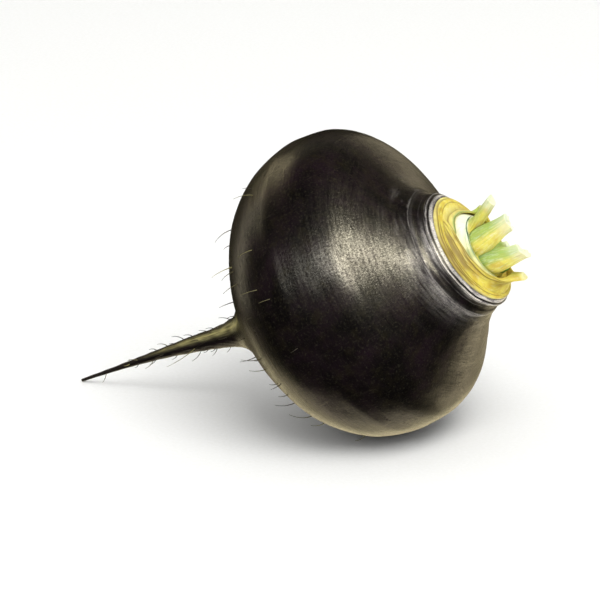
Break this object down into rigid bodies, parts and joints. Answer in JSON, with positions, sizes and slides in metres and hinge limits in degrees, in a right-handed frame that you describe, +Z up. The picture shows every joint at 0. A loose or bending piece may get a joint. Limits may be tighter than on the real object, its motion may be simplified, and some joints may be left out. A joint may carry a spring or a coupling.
{
  "type": "black radish",
  "caption": "Round black winter radish lying on its belly: ringed neck, long thin taproot with fine rootlets, and a yellow crown with leaf stalks cut short.",
  "frame": {"origin": "centre of the small flat spot on the belly that the radish rests on", "axes": "+Z up, +X towards the crown, so the taproot points to -X"},
  "size_m": [0.1419, 0.091, 0.0853],
  "materials": {
    "black skin": "brown-black radish skin, dry, finely scored, with a soft sheen",
    "yellow crown flesh": "moist yellow crown with ochre folds",
    "pale green stalk": "smooth leaf stalk, green on one side and yellow on the other"
  },
  "bodies": {
    "root": {"root": "black skin", "crown_stem": "yellow crown flesh", "leaf_stalk_1": "yellow crown flesh", "leaf_stalk_2": "pale green stalk", "leaf_stalk_3": "yellow crown flesh", "leaf_stalk_4": "pale green stalk", "leaf_stalk_5": "pale green stalk", "leaf_stalk_6": "pale green stalk", "leaf_stalk_7": "pale green stalk", "leaf_stalk_8": "pale green stalk"}
  },
  "joints": []
}
